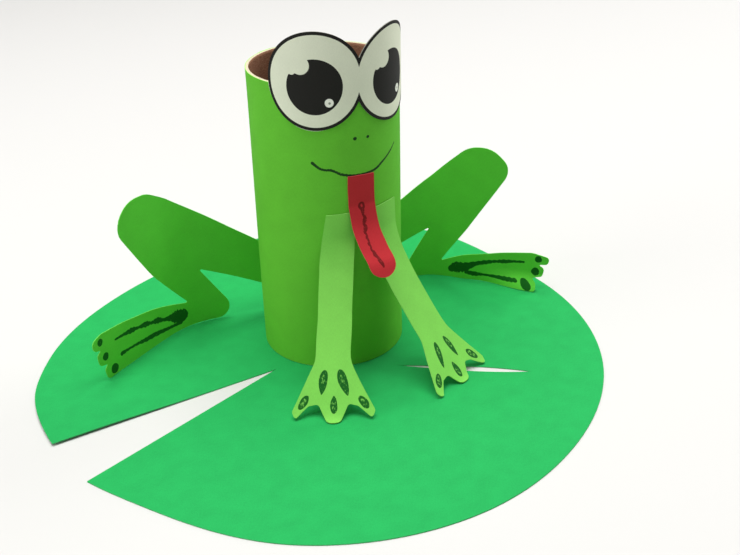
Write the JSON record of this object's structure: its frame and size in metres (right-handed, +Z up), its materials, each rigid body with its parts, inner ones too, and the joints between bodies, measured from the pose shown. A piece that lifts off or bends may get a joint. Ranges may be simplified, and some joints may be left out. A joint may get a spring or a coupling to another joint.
{
  "type": "paper tube frog",
  "caption": "Craft frog: a paper-wrapped cardboard tube with card eyes, curled tongue, slanted front legs and folded hind legs, standing on a round notched paper lily pad.",
  "frame": {"origin": "on the tube's axis, at the underside of the lily pad", "axes": "+Z up along the tube, the face looks along -Y, +X to the right as seen from the front"},
  "size_m": [0.1793, 0.1751, 0.1069],
  "materials": {
    "pad_paper": "matt coloured paper",
    "wrap_paper": "matt coloured paper",
    "front_leg_paper": "matt coloured paper",
    "hind_leg_paper": "matt coloured paper",
    "tongue_paper": "matt coloured paper",
    "eye_card_paper": "printed thin card",
    "tube_board": "raw grey-brown board",
    "glue": "dried glue film"
  },
  "bodies": {
    "frog_on_pad": {"lily_pad": "pad_paper", "base_glue": "glue", "tube_inner_ply": "tube_board", "tube_outer_ply": "tube_board", "green_wrap": "wrap_paper", "eye_card": "eye_card_paper", "eye_card_glue": "glue", "tongue_root": "tongue_paper", "tongue_glue": "glue", "front_leg_left_tab": "front_leg_paper", "front_leg_left_glue": "glue", "hind_leg_left_tab": "hind_leg_paper", "hind_leg_left_glue": "glue", "front_leg_right_tab": "front_leg_paper", "front_leg_right_glue": "glue", "hind_leg_right_tab": "hind_leg_paper", "hind_leg_right_glue": "glue"},
    "tongue_flap": {"tongue": "tongue_paper"},
    "front_leg_left_flap": {"front_leg_left": "front_leg_paper"},
    "front_leg_right_flap": {"front_leg_right": "front_leg_paper"},
    "hind_leg_left_flap": {"hind_leg_left": "hind_leg_paper"},
    "hind_leg_right_flap": {"hind_leg_right": "hind_leg_paper"}
  },
  "joints": [
    {"name": "tongue_lift", "type": "hinge", "parent": "frog_on_pad", "child": "tongue_flap", "pos_m": [0, -0.0231, 0.055], "axis": [-1, 0, 0], "range_deg": [-4, 70], "stiffness_Nm_per_rad": 0.0003},
    {"name": "front_leg_left_lift", "type": "hinge", "parent": "frog_on_pad", "child": "front_leg_left_flap", "pos_m": [-0.0079, -0.02171, 0.045], "axis": [-0.8829, 0.4695, 0], "range_deg": [0, 60], "stiffness_Nm_per_rad": 0.0003},
    {"name": "front_leg_right_lift", "type": "hinge", "parent": "frog_on_pad", "child": "front_leg_right_flap", "pos_m": [0.0079, -0.02171, 0.045], "axis": [-0.9135, -0.4067, 0], "range_deg": [0, 60], "stiffness_Nm_per_rad": 0.0003},
    {"name": "hind_leg_left_swing", "type": "hinge", "parent": "frog_on_pad", "child": "hind_leg_left_flap", "pos_m": [-0.00367, 0.02267, 0.012], "axis": [0, 0, -1], "range_deg": [-12, 40], "stiffness_Nm_per_rad": 0.001},
    {"name": "hind_leg_right_swing", "type": "hinge", "parent": "frog_on_pad", "child": "hind_leg_right_flap", "pos_m": [0.00941, 0.02095, 0.012], "axis": [0, 0, 1], "range_deg": [-12, 40], "stiffness_Nm_per_rad": 0.001}
  ]
}
